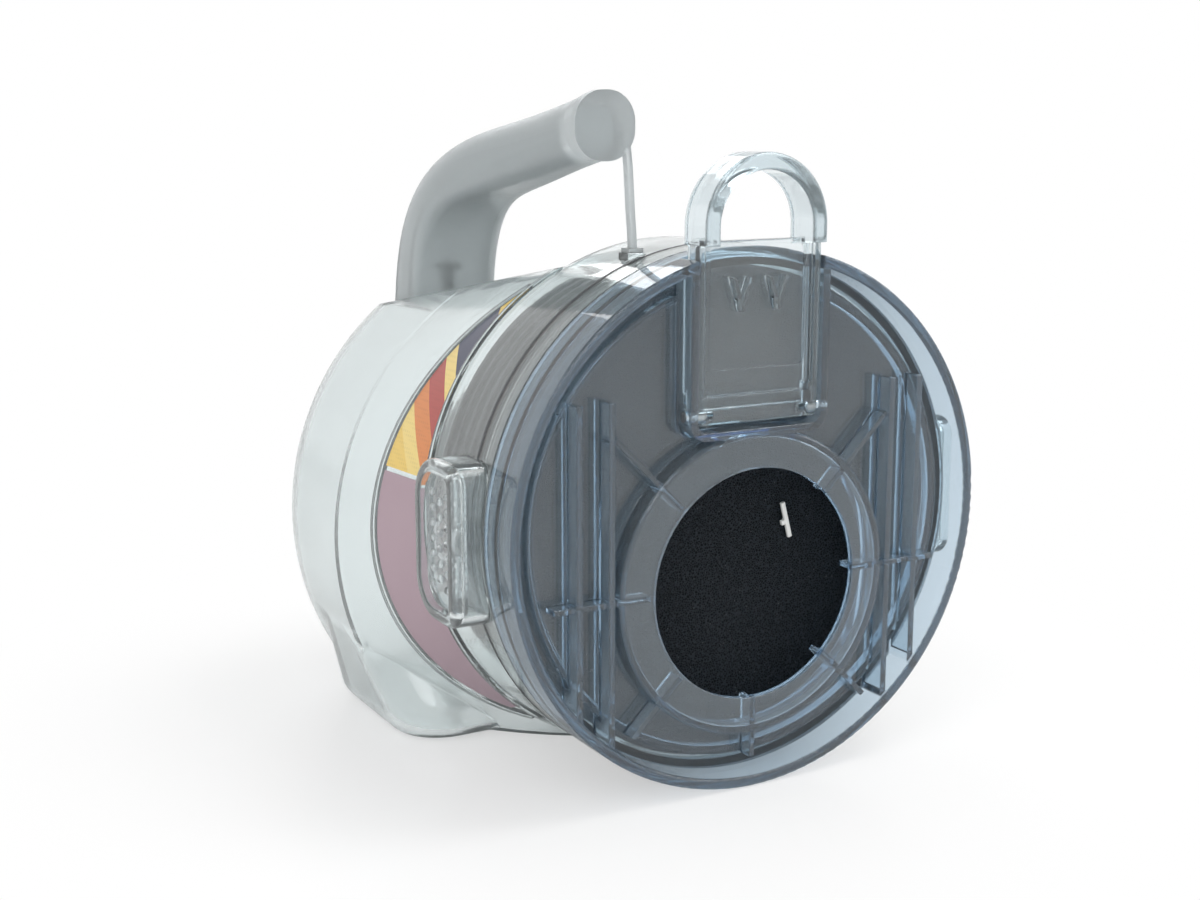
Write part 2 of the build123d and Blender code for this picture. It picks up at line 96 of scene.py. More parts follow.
class Graph:
    """A thin helper that places and joins nodes in one node tree."""

    # Places of the colour sockets on a Mix node.
    MIX_SHARE = 0
    MIX_FIRST = 6
    MIX_SECOND = 7
    MIX_RESULT = 2
    ROUNDING_SAMPLES = 4

    def __init__(self, tree: bpy.types.NodeTree) -> None:
        """Keeps the tree and empties it.

        Args:
            tree: The node tree to fill.
        """
        self.tree = tree
        self.tree.nodes.clear()

    def add(self, kind: str, **settings: object) -> bpy.types.Node:
        """Adds a node and sets its properties.

        Args:
            kind: Blender's name of the node type.
            settings: Properties of the node by name.

        Returns:
            The new node.
        """
        node = self.tree.nodes.new(kind)
        for name, value in settings.items():
            setattr(node, name, value)
        return node

    def join(self, start: Socket, end: Socket) -> None:
        """Joins an output to an input."""
        self.tree.links.new(start, end)

    def math(self, operation: str, first: object, second: object, clamp: bool = False) -> Socket:
        """Places a Math node whose inputs are sockets or plain numbers.

        Args:
            operation: The kind of sum.
            first: First socket or number.
            second: Second socket or number.
            clamp: Whether the result stays from 0 to 1.

        Returns:
            The node's output.
        """
        node = self.add("ShaderNodeMath", operation=operation, use_clamp=clamp)
        for place, value in enumerate((first, second)):
            if isinstance(value, (int, float)):
                node.inputs[place].default_value = value
            else:
                self.join(value, node.inputs[place])
        return node.outputs[0]

    def span(self, value: Socket, low: float, high: float, to_low: float, to_high: float) -> Socket:
        """Maps a value smoothly from one range to another.

        Args:
            value: The socket to map.
            low: Value that becomes to_low.
            high: Value that becomes to_high.
            to_low: Result at low.
            to_high: Result at high.

        Returns:
            The mapped output.
        """
        node = self.add("ShaderNodeMapRange", interpolation_type="SMOOTHSTEP")
        self.join(value, node.inputs["Value"])
        node.inputs["From Min"].default_value = low
        node.inputs["From Max"].default_value = high
        node.inputs["To Min"].default_value = to_low
        node.inputs["To Max"].default_value = to_high
        return node.outputs["Result"]

    def ramp(self, value: Socket, stops: list[tuple[float, Colour]], mode: str) -> Socket:
        """Turns a value into colour.

        Args:
            value: The socket that drives the ramp.
            stops: Place and colour of each stop.
            mode: How the ramp goes between its stops.

        Returns:
            The colour output.
        """
        node = self.add("ShaderNodeValToRGB")
        node.color_ramp.interpolation = mode
        while len(node.color_ramp.elements) < len(stops):
            node.color_ramp.elements.new(1.0)
        for element, (place, colour) in zip(node.color_ramp.elements, stops):
            element.position = place
            element.color = (*colour, 1.0)
        self.join(value, node.inputs["Fac"])
        return node.outputs["Color"]

    def blend(self, share: object, first: object, second: object) -> Socket:
        """Mixes two colours.

        Args:
            share: Socket or number, 0 for the first colour and 1 for the second.
            first: Socket or colour.
            second: Socket or colour.

        Returns:
            The mixed colour.
        """
        node = self.add("ShaderNodeMix", data_type="RGBA")
        for place, value in ((self.MIX_SHARE, share), (self.MIX_FIRST, first), (self.MIX_SECOND, second)):
            if isinstance(value, Socket):
                self.join(value, node.inputs[place])
            elif isinstance(value, (int, float)):
                node.inputs[place].default_value = value
            else:
                node.inputs[place].default_value = (*value, 1.0)
        return node.outputs[self.MIX_RESULT]

    def noise(self, vector: Socket, scale: float, detail: float) -> Socket:
        """Places a noise texture and gives its value.

        Args:
            vector: The coordinates it follows.
            scale: How fine it is.
            detail: How many finer layers it has.

        Returns:
            The value output.
        """
        node = self.add("ShaderNodeTexNoise")
        node.inputs["Scale"].default_value = scale
        node.inputs["Detail"].default_value = detail
        self.join(vector, node.inputs["Vector"])
        return node.outputs["Fac"]

    def bump(self, height: Socket, strength: float, distance: float, soften: float = 0.0) -> Socket:
        """Places a Bump node over a height and gives its normal.

        Args:
            height: The height of the relief.
            strength: Share of the relief that shows.
            distance: Depth of the relief in metres.
            soften: Radius in metres by which hard edges look rounded.

        Returns:
            The normal output.
        """
        node = self.add("ShaderNodeBump")
        node.inputs["Strength"].default_value = strength
        node.inputs["Distance"].default_value = distance
        self.join(height, node.inputs["Height"])
        if soften > 0.0:
            edge = self.add("ShaderNodeBevel", samples=self.ROUNDING_SAMPLES)
            edge.inputs["Radius"].default_value = soften
            self.join(edge.outputs["Normal"], node.inputs["Normal"])
        return node.outputs["Normal"]


class SurfaceGroups:
    """Builds the node groups that several finishes share, once each."""

    MOULDED = "moulded_surface"
    FLOW_DETAIL = 2.0
    GRAIN_DETAIL = 4.0
    # Shares of the flow waves and of the fine grain.
    ROUGH_SHARES = (0.7, 0.3)
    HEIGHT_SHARES = (0.85, 0.15)
    HANDLING = "handling_marks"
    SCRATCH_TURN = (0.4, 0.7, 0.2)
    SCRATCH_STRETCH = (1.0, 14.0, 1.0)
    SCRATCH_DETAIL = 5.0
    SCRATCH_EDGE = (0.62, 0.72)
    # Rubbed patches are this much coarser than the scratches in them.
    PATCH_SHARE = 0.35
    PATCH_DETAIL = 1.0
    PATCH_EDGE = (0.45, 0.65)

    @staticmethod
    def begin(
        name: str, scales: tuple[str, ...], results: tuple[str, ...]
    ) -> tuple[Graph, bpy.types.Node, bpy.types.Node]:
        """Starts a group that reads a place and some scales and puts out values.

        Args:
            name: Name of the group.
            scales: Names of its number inputs.
            results: Names of its outputs.

        Returns:
            The group's graph, its input node and its output node.
        """
        tree = bpy.data.node_groups.new(name, "ShaderNodeTree")
        tree.interface.new_socket(name="Vector", in_out="INPUT", socket_type="NodeSocketVector")
        for scale in scales:
            tree.interface.new_socket(name=scale, in_out="INPUT", socket_type="NodeSocketFloat")
        for result in results:
            tree.interface.new_socket(name=result, in_out="OUTPUT", socket_type="NodeSocketFloat")
        graph = Graph(tree)
        return graph, graph.add("NodeGroupInput"), graph.add("NodeGroupOutput")

    @classmethod
    def moulded(cls) -> bpy.types.NodeTree:
        """Gives the flow waves and fine grain of a moulded plastic face.

        Returns:
            The group, with outputs Rough (0 to 1) and Height.
        """
        found = bpy.data.node_groups.get(cls.MOULDED)
        if found is not None:
            return found
        graph, enter, leave = cls.begin(cls.MOULDED, ("Flow Scale", "Grain Scale"), ("Rough", "Height"))
        flow = graph.add("ShaderNodeTexNoise")
        flow.inputs["Detail"].default_value = cls.FLOW_DETAIL
        grain = graph.add("ShaderNodeTexNoise")
        grain.inputs["Detail"].default_value = cls.GRAIN_DETAIL
        for node, name in ((flow, "Flow Scale"), (grain, "Grain Scale")):
            graph.join(enter.outputs["Vector"], node.inputs["Vector"])
            graph.join(enter.outputs[name], node.inputs["Scale"])
        for name, shares in (("Rough", cls.ROUGH_SHARES), ("Height", cls.HEIGHT_SHARES)):
            waves = graph.math("MULTIPLY", flow.outputs["Fac"], shares[0])
            grains = graph.math("MULTIPLY", grain.outputs["Fac"], shares[1])
            graph.join(graph.math("ADD", waves, grains), leave.inputs[name])
        return graph.tree

    @classmethod
    def handling(cls) -> bpy.types.NodeTree:
        """Gives thin scratches and rubbed patches from handling.

        Returns:
            The group, with output Mask from 0 to 1.
        """
        found = bpy.data.node_groups.get(cls.HANDLING)
        if found is not None:
            return found
        graph, enter, leave = cls.begin(cls.HANDLING, ("Scale",), ("Mask",))
        turn = graph.add("ShaderNodeMapping")
        turn.inputs["Rotation"].default_value = cls.SCRATCH_TURN
        turn.inputs["Scale"].default_value = cls.SCRATCH_STRETCH
        graph.join(enter.outputs["Vector"], turn.inputs["Vector"])
        line = graph.add("ShaderNodeTexNoise")
        line.inputs["Detail"].default_value = cls.SCRATCH_DETAIL
        graph.join(turn.outputs["Vector"], line.inputs["Vector"])
        graph.join(enter.outputs["Scale"], line.inputs["Scale"])
        patch = graph.add("ShaderNodeTexNoise")
        patch.inputs["Detail"].default_value = cls.PATCH_DETAIL
        graph.join(enter.outputs["Vector"], patch.inputs["Vector"])
        graph.join(graph.math("MULTIPLY", enter.outputs["Scale"], cls.PATCH_SHARE), patch.inputs["Scale"])
        thin = graph.span(line.outputs["Fac"], *cls.SCRATCH_EDGE, 0.0, 1.0)
        rubbed = graph.span(patch.outputs["Fac"], *cls.PATCH_EDGE, 0.0, 1.0)
        graph.join(graph.math("MULTIPLY", thin, rubbed), leave.inputs["Mask"])
        return graph.tree


@dataclass(frozen=True)
class Finish:
    """What every finish shares: its name and the way it starts a material."""

    name: str

    def start(self) -> tuple[bpy.types.Material, Graph, bpy.types.Node, Socket]:
        """Makes an empty material with its shader and its Object coordinates.

        Returns:
            The material, its graph, the Principled node and the coordinate output.
        """
        material = bpy.data.materials.new(self.name)
        material.use_nodes = True
        graph = Graph(material.node_tree)
        out = graph.add("ShaderNodeOutputMaterial")
        shader = graph.add("ShaderNodeBsdfPrincipled")
        graph.join(shader.outputs["BSDF"], out.inputs["Surface"])
        place = graph.add("ShaderNodeTexCoord")
        return material, graph, shader, place.outputs["Object"]

    @staticmethod
    def output(graph: Graph) -> bpy.types.Node:
        """Finds the output node of a material."""
        return next(node for node in graph.tree.nodes if node.bl_idname == "ShaderNodeOutputMaterial")

    @staticmethod
    def moulded(graph: Graph, vector: Socket, flow: float, grain: float) -> bpy.types.Node:
        """Places the shared moulded surface in a material.

        Args:
            graph: The material's graph.
            vector: The coordinates it follows.
            flow: Scale of the flow waves.
            grain: Scale of the fine grain.

        Returns:
            The group's node.
        """
        node = graph.add("ShaderNodeGroup", node_tree=SurfaceGroups.moulded())
        graph.join(vector, node.inputs["Vector"])
        node.inputs["Flow Scale"].default_value = flow
        node.inputs["Grain Scale"].default_value = grain
        return node

    @staticmethod
    def handling(graph: Graph, vector: Socket, scale: float) -> Socket:
        """Places the shared handling marks in a material.

        Args:
            graph: The material's graph.
            vector: The coordinates they follow.
            scale: Scale of the scratches.

        Returns:
            The mask of the marks.
        """
        node = graph.add("ShaderNodeGroup", node_tree=SurfaceGroups.handling())
        graph.join(vector, node.inputs["Vector"])
        node.inputs["Scale"].default_value = scale
        return node.outputs["Mask"]

    def build(self) -> bpy.types.Material:
        """Builds the material; each finish has its own."""
        raise NotImplementedError


@dataclass(frozen=True)
class ClearMoulding(Finish):
    """Clear moulded plastic with soft flow waves, faint scratches and a hazier far end.

    Its colour deepens with its thickness, so that edges look darker than walls.
    """

    tint: Colour
    dull: Colour
    depth_colour: Colour = (0.80, 0.93, 0.95)
    depth_density: float = 20.0
    smooth: float = 0.015
    worn: float = 0.10
    haze: float = 0.0
    haze_from: float = 0.0
    haze_to: float = 0.001
    clear_share: float = 0.96
    soften: float = 0.0005
    flow: float = 22.0
    grain: float = 420.0
    scratch: float = 60.0
    patchy: Range = (0.40, 0.70)
    spread: float = 2.5
    relief: float = 0.12
    relief_depth: float = 0.0006
    bending: float = 1.5

    def build(self) -> bpy.types.Material:
        """Builds the clear plastic.

        Returns:
            The finished material.
        """
        material, graph, shader, vector = self.start()
        surface = self.moulded(graph, vector, self.flow, self.grain)
        marks = self.handling(graph, vector, self.scratch)
        rough = graph.span(surface.outputs["Rough"], *self.patchy, self.smooth, self.smooth * self.spread)
        rough = graph.math("ADD", rough, graph.math("MULTIPLY", marks, self.worn))
        parts = graph.add("ShaderNodeSeparateXYZ")
        graph.join(vector, parts.inputs["Vector"])
        haze = graph.span(parts.outputs["Y"], self.haze_from, self.haze_to, 0.0, self.haze)
        graph.join(graph.math("ADD", rough, haze, clamp=True), shader.inputs["Roughness"])
        graph.join(graph.blend(surface.outputs["Rough"], self.tint, self.dull), shader.inputs["Base Color"])
        normal = graph.bump(surface.outputs["Height"], self.relief, self.relief_depth, self.soften)
        graph.join(normal, shader.inputs["Normal"])
        shader.inputs["Transmission Weight"].default_value = self.clear_share
        shader.inputs["IOR"].default_value = self.bending
        body = graph.add("ShaderNodeVolumeAbsorption")
        body.inputs["Color"].default_value = (*self.depth_colour, 1.0)
        body.inputs["Density"].default_value = self.depth_density
        graph.join(body.outputs["Volume"], self.output(graph).inputs["Volume"])
        return material


@dataclass(frozen=True)
class FrostedMoulding(Finish):
    """Frosted see-through plastic that shows light and dark without detail."""

    tint: Colour = (0.735, 0.775, 0.785)
    dull: Colour = (0.655, 0.695, 0.705)
    rough: float = 0.38
    clear_share: float = 0.80
    flow: float = 30.0
    grain: float = 500.0
    patchy: Range = (0.35, 0.70)
    spread: Range = (0.85, 1.2)
    relief: float = 0.04
    relief_depth: float = 0.0005
    bending: float = 1.49

    def build(self) -> bpy.types.Material:
        """Builds the frosted plastic.

        Returns:
            The finished material.
        """
        material, graph, shader, vector = self.start()
        surface = self.moulded(graph, vector, self.flow, self.grain)
        least, most = (self.rough * share for share in self.spread)
        rough = graph.span(surface.outputs["Rough"], *self.patchy, least, most)
        graph.join(rough, shader.inputs["Roughness"])
        graph.join(graph.blend(surface.outputs["Rough"], self.tint, self.dull), shader.inputs["Base Color"])
        normal = graph.bump(surface.outputs["Height"], self.relief, self.relief_depth)
        graph.join(normal, shader.inputs["Normal"])
        shader.inputs["Transmission Weight"].default_value = self.clear_share
        shader.inputs["IOR"].default_value = self.bending
        return material


@dataclass(frozen=True)
class SatinMoulding(Finish):
    """Opaque moulded plastic or rubber with a fine spark texture and rubbed marks."""

    colour: Colour
    worn: Colour
    rough: float = 0.42
    grain: float = 1600.0
    relief: float = 0.25
    flow: float = 60.0
    scratch: float = 80.0
    patchy: Range = (0.3, 0.7)
    spread: Range = (0.85, 1.2)
    relief_depth: float = 0.0004

    def build(self) -> bpy.types.Material:
        """Builds the satin plastic.

        Returns:
            The finished material.
        """
        material, graph, shader, vector = self.start()
        surface = self.moulded(graph, vector, self.flow, self.grain)
        marks = self.handling(graph, vector, self.scratch)
        shade = graph.blend(surface.outputs["Rough"], self.colour, self.worn)
        graph.join(graph.blend(marks, shade, self.worn), shader.inputs["Base Color"])
        least, most = (self.rough * share for share in self.spread)
        rough = graph.span(surface.outputs["Rough"], *self.patchy, least, most)
        graph.join(rough, shader.inputs["Roughness"])
        normal = graph.bump(surface.outputs["Height"], self.relief, self.relief_depth)
        graph.join(normal, shader.inputs["Normal"])
        return material


@dataclass(frozen=True)
class OpenCellFoam(Finish):
    """Near-black open-cell foam: pale struts that catch light, pores painted darker as painted shade in the
    cells, and sparse pale flecks on the face.
    """

    # Colour of the pores: painted shade, darker than the struts, inside the cells.
    painted_pore_shade: Colour = (0.003, 0.005, 0.007)
    strut: Colour = (0.018, 0.024, 0.031)
    fleck_colour: Colour = (0.13, 0.135, 0.14)
    cell: float = 1500.0
    strut_edge: Range = (0.04, 0.22)
    fleck: float = 900.0
    fleck_edge: Range = (0.10, 0.19)
    fleck_share: float = 0.7
    sparse: float = 420.0
    sparse_edge: Range = (0.56, 0.66)
    relief: float = 0.9
    relief_depth: float = 0.0007
    rough: Range = (0.95, 0.6)
    shine: float = 0.2

    def build(self) -> bpy.types.Material:
        """Builds the foam.

        Returns:
            The finished material.
        """
        material, graph, shader, vector = self.start()
        cells = graph.add("ShaderNodeTexVoronoi", feature="DISTANCE_TO_EDGE")
        cells.inputs["Scale"].default_value = self.cell
        graph.join(vector, cells.inputs["Vector"])
        strut = graph.span(cells.outputs["Distance"], *self.strut_edge, 1.0, 0.0)
        # The pores take a darker colour than the struts: painted shade inside the cells.
        shade = graph.blend(strut, self.painted_pore_shade, self.strut)
        flecks = graph.add("ShaderNodeTexVoronoi", feature="F1")
        flecks.inputs["Scale"].default_value = self.fleck
        graph.join(vector, flecks.inputs["Vector"])
        fleck = graph.span(flecks.outputs["Distance"], *self.fleck_edge, 1.0, 0.0)
        sparse = graph.span(graph.noise(vector, self.sparse, 1.0), *self.sparse_edge, 0.0, self.fleck_share)
        # Sparse small pale flecks, lighter than the struts, laid over the face.
        shade = graph.blend(graph.math("MULTIPLY", fleck, sparse), shade, self.fleck_colour)
        graph.join(shade, shader.inputs["Base Color"])
        graph.join(graph.bump(strut, self.relief, self.relief_depth), shader.inputs["Normal"])
        graph.join(graph.span(strut, 0.0, 1.0, *self.rough), shader.inputs["Roughness"])
        shader.inputs["Specular IOR Level"].default_value = self.shine
        return material


@dataclass(frozen=True)
class PrintedFilm(Finish):
    """Glossy film printed with plain sweeping colour bands and a fine dot screen."""

    bands: tuple[tuple[float, Colour], ...] = (
        (0.00, (0.030, 0.036, 0.085)),
        (0.30, (0.800, 0.560, 0.130)),
        (0.50, (0.840, 0.640, 0.210)),
        (0.62, (0.690, 0.230, 0.055)),
        (0.76, (0.420, 0.060, 0.045)),
        (0.90, (0.840, 0.640, 0.210)),
    )
    turn: Point = (0.2, 0.5, 0.9)
    scale: float = 6.5
    sway: float = 1.6
    sway_scale: float = 0.6
    dot: float = 900.0
    dot_edge: Range = (0.2, 0.5)
    dot_share: float = 0.10
    dot_ink: Colour = (0.02, 0.015, 0.03)
    flow: float = 35.0
    grain: float = 500.0
    patchy: Range = (0.35, 0.7)
    rough: Range = (0.14, 0.30)
    relief: float = 0.10
    relief_depth: float = 0.0005
    coat: float = 0.4

    def build(self) -> bpy.types.Material:
        """Builds the printed film.

        Returns:
            The finished material.
        """
        material, graph, shader, vector = self.start()
        lay = graph.add("ShaderNodeMapping")
        lay.inputs["Rotation"].default_value = self.turn
        graph.join(vector, lay.inputs["Vector"])
        sweep = graph.add("ShaderNodeTexWave", wave_type="BANDS", bands_direction="X", wave_profile="SAW")
        sweep.inputs["Scale"].default_value = self.scale
        sweep.inputs["Distortion"].default_value = self.sway
        sweep.inputs["Detail"].default_value = 0.0
        sweep.inputs["Detail Scale"].default_value = self.sway_scale
        graph.join(lay.outputs["Vector"], sweep.inputs["Vector"])
        print_colour = graph.ramp(sweep.outputs["Fac"], list(self.bands), "CONSTANT")
        dots = graph.add("ShaderNodeTexVoronoi", feature="F1")
        dots.inputs["Scale"].default_value = self.dot
        dots.inputs["Randomness"].default_value = 0.0
        graph.join(vector, dots.inputs["Vector"])
        screen = graph.span(dots.outputs["Distance"], *self.dot_edge, self.dot_share, 0.0)
        graph.join(graph.blend(screen, print_colour, self.dot_ink), shader.inputs["Base Color"])
        surface = self.moulded(graph, vector, self.flow, self.grain)
        rough = graph.span(surface.outputs["Rough"], *self.patchy, *self.rough)
        graph.join(rough, shader.inputs["Roughness"])
        normal = graph.bump(surface.outputs["Height"], self.relief, self.relief_depth)
        graph.join(normal, shader.inputs["Normal"])
        shader.inputs["Coat Weight"].default_value = self.coat
        return material


@dataclass(frozen=True)
class BrightSteel(Finish):
    """Bright steel of a wire, pin or screw, with a fine drawn grain."""

    colour: Colour = (0.62, 0.62, 0.61)
    dull: Colour = (0.46, 0.46, 0.46)
    flow: float = 90.0
    grain: float = 2600.0
    patchy: Range = (0.3, 0.7)
    rough: Range = (0.18, 0.36)
    relief: float = 0.1
    relief_depth: float = 0.0002

    def build(self) -> bpy.types.Material:
        """Builds the steel.

        Returns:
            The finished material.
        """
        material, graph, shader, vector = self.start()
        surface = self.moulded(graph, vector, self.flow, self.grain)
        shade = graph.blend(surface.outputs["Rough"], self.colour, self.dull)
        graph.join(shade, shader.inputs["Base Color"])
        rough = graph.span(surface.outputs["Rough"], *self.patchy, *self.rough)
        graph.join(rough, shader.inputs["Roughness"])
        normal = graph.bump(surface.outputs["Height"], self.relief, self.relief_depth)
        graph.join(normal, shader.inputs["Normal"])
        shader.inputs["Metallic"].default_value = 1.0
        return material


@dataclass
class Palette:
    """Every finish of the bin, built once."""

    made: dict[str, bpy.types.Material] = field(default_factory=dict)

    def build(self) -> None:
        """Builds all the finishes."""
        finishes: list[Finish] = [
            ClearMoulding(
                "clear_body",
                tint=(0.945, 0.985, 0.985),
                dull=(0.92, 0.965, 0.97),
                haze=0.14,
                haze_from=-0.06,
                haze_to=0.0,
                clear_share=0.93,
            ),
            ClearMoulding(
                "blue_clear",
                tint=(0.86, 0.94, 0.985),
                dull=(0.82, 0.905, 0.96),
                clear_share=0.93,
                soften=0.0008,
                depth_colour=(0.30, 0.53, 0.71),
                depth_density=100.0,
            ),
            ClearMoulding(
                "lever_clear",
                tint=(0.92, 0.955, 0.965),
                dull=(0.88, 0.92, 0.935),
                soften=0.0008,
                depth_colour=(0.55, 0.70, 0.76),
                depth_density=55.0,
            ),
            ClearMoulding(
                "grip_clear",
                tint=(0.94, 0.955, 0.96),
                dull=(0.90, 0.92, 0.93),
                smooth=0.02,
                clear_share=0.94,
            ),
            FrostedMoulding("frosted_handle"),
            SatinMoulding("seam_rubber", colour=(0.05, 0.055, 0.06), worn=(0.10, 0.105, 0.11), rough=0.55),
            SatinMoulding("soft_seal", colour=(0.20, 0.21, 0.22), worn=(0.27, 0.28, 0.29), rough=0.5),
            SatinMoulding("basket_grey", colour=(0.05, 0.054, 0.058), worn=(0.08, 0.085, 0.09)),
            FrostedMoulding(
                "inner_clear",
                tint=(0.92, 0.94, 0.94),
                dull=(0.86, 0.89, 0.89),
                rough=0.22,
                clear_share=0.55,
            ),
            OpenCellFoam("open_cell_foam"),
            PrintedFilm("sweep_print"),
            SatinMoulding(
                "plum_film",
                colour=(0.400, 0.290, 0.335),
                worn=(0.440, 0.330, 0.370),
                rough=0.22,
                relief=0.08,
            ),
            SatinMoulding("white_nylon", colour=(0.82, 0.82, 0.80), worn=(0.74, 0.74, 0.72), rough=0.4),
            BrightSteel("bright_steel"),
        ]
        for finish in finishes:
            self.made[finish.name] = finish.build()
            LOG.info("finish %s", finish.name)

    def dress(self, piece: bpy.types.Object, name: str) -> None:
        """Gives a piece one finish in all of its material slots.

        Args:
            piece: The piece to dress.
            name: Name of the finish.
        """
        material = self.made[name]
        if not piece.data.materials:
            piece.data.materials.append(material)
        for place in range(len(piece.data.materials)):
            piece.data.materials[place] = material


class Bench:
    """Small hand tools over Blender's operators."""

    @staticmethod
    def clear() -> None:
        """Leaves edit mode and deselects everything."""
        if bpy.context.object is not None and bpy.context.object.mode != "OBJECT":
            bpy.ops.object.mode_set(mode="OBJECT")
        bpy.ops.object.select_all(action="DESELECT")

    @staticmethod
    def take(name: str) -> bpy.types.Object:
        """Names the newest piece and gives it back.

        Args:
            name: Name of the piece and of its mesh.

        Returns:
            The piece.
        """
        piece = bpy.context.object
        piece.name = name
        piece.data.name = name
        return piece

    @staticmethod
    def copy(source: bpy.types.Object, name: str) -> bpy.types.Object:
        """Copies a solid with its own mesh and welds the copy's loose triangles.

        Args:
            source: The CAD node.
            name: Name of the copy.

        Returns:
            The copy, with plain normals.
        """
        Bench.clear()
        piece = bpy.data.objects.new(name, source.data.copy())
        bpy.context.scene.collection.objects.link(piece)
        bpy.context.view_layer.objects.active = piece
        piece.select_set(True)
        piece.data.name = name
        bpy.ops.mesh.customdata_custom_splitnormals_clear()
        Bench.pick(piece, "VERT", lambda v: True)
        bpy.ops.mesh.remove_doubles(threshold=WELD * MM)
        Bench.clear()
        return piece

    @staticmethod
    def pick(piece: bpy.types.Object, mode: str, test: Callable[[object], bool]) -> None:
        """Goes into edit mode and selects elements by a test.

        Args:
            piece: The piece to edit.
            mode: VERT, EDGE or FACE.
            test: Says for each element whether it is picked.
        """
        if piece.mode != "EDIT":
            bpy.ops.object.mode_set(mode="EDIT")
        bpy.ops.mesh.select_mode(type=mode)
        bpy.ops.mesh.select_all(action="DESELECT")
        mesh = bmesh.from_edit_mesh(piece.data)
        rows = {"VERT": mesh.verts, "EDGE": mesh.edges, "FACE": mesh.faces}[mode]
        for element in rows:
            element.select = bool(test(element))
        mesh.select_flush_mode()
        bmesh.update_edit_mesh(piece.data)

    @staticmethod
    def settle(piece: bpy.types.Object, smooth: float = 35.0) -> None:
        """Leaves edit mode, puts the piece's place in its mesh and smooths it.

        Args:
            piece: The piece to finish.
            smooth: Largest angle, in degrees, that is shaded smooth.
        """
        if piece.mode != "OBJECT":
            bpy.ops.object.mode_set(mode="OBJECT")
        bpy.ops.object.select_all(action="DESELECT")
        piece.select_set(True)
        bpy.context.view_layer.objects.active = piece
        bpy.ops.object.transform_apply(location=True, rotation=True, scale=True)
        bpy.ops.object.shade_smooth_by_angle(angle=math.radians(smooth))

    @staticmethod
    def apply(piece: bpy.types.Object, kind: str, **settings: object) -> None:
        """Adds one modifier and applies it at once.

        Args:
            piece: The piece.
            kind: Blender's type of the modifier.
            settings: Its properties by name.
        """
        if piece.mode != "OBJECT":
            bpy.ops.object.mode_set(mode="OBJECT")
        bpy.context.view_layer.objects.active = piece
        modifier = piece.modifiers.new(kind.lower(), kind)
        for name, value in settings.items():
            setattr(modifier, name, value)
        bpy.ops.object.modifier_apply(modifier=modifier.name)


@dataclass
class BinBody:
    """The clear body with its handle, labels and the inner cyclone parts."""

    finishes: dict[str, str] = field(
        default_factory=lambda: {
            "seam_gasket": "seam_rubber",
            "handle": "frosted_handle",
            "label_art": "sweep_print",
            "label_panel": "plum_film",
            "inlet_gasket": "soft_seal",
            "filter_basket": "basket_grey",
            "shroud_mesh": "inner_clear",
            "vortex_tube": "inner_clear",
            "cyclone_cone": "inner_clear",
        }
    )

    def dress(self, nodes: dict[str, bpy.types.Object], palette: Palette) -> None:
        """Gives the body's solids their finishes and adds the fused body, the sleeve and the screw.

        Args:
            nodes: The CAD nodes by name.
            palette: The finishes.
        """
        for name, finish in self.finishes.items():
            palette.dress(nodes[name], finish)
            LOG.info("solid %s wears %s", name, finish)
        ClearBody().build(nodes, palette)
        FilterSleeve().build(palette)
        ArmScrew().build(palette)


@dataclass
class ClearBody:
    """The clear moulding in one piece: its front and its drum fused, so that no joint shows inside it."""

    halves: tuple[str, str] = ("bin_shell", "bin_drum")
    smooth: float = 30.0

    def build(self, nodes: dict[str, bpy.types.Object], palette: Palette) -> bpy.types.Object:
        """Copies the two solids, fuses the copies and dresses the result.

        Args:
            nodes: The CAD nodes by name.
            palette: The finishes.

        Returns:
            The clear body.
        """
        body, drum = (Bench.copy(nodes[name], name + "_copy") for name in self.halves)
        Bench.apply(body, "BOOLEAN", operation="UNION", object=drum, solver="EXACT")
        bpy.data.objects.remove(drum)
        body.name = "clear_body"
        Bench.settle(body, self.smooth)
        palette.dress(body, "clear_body")
        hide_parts(*self.halves)
        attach(body, Body.BIN.value)
        LOG.info("piece %s", body.name)
        return body


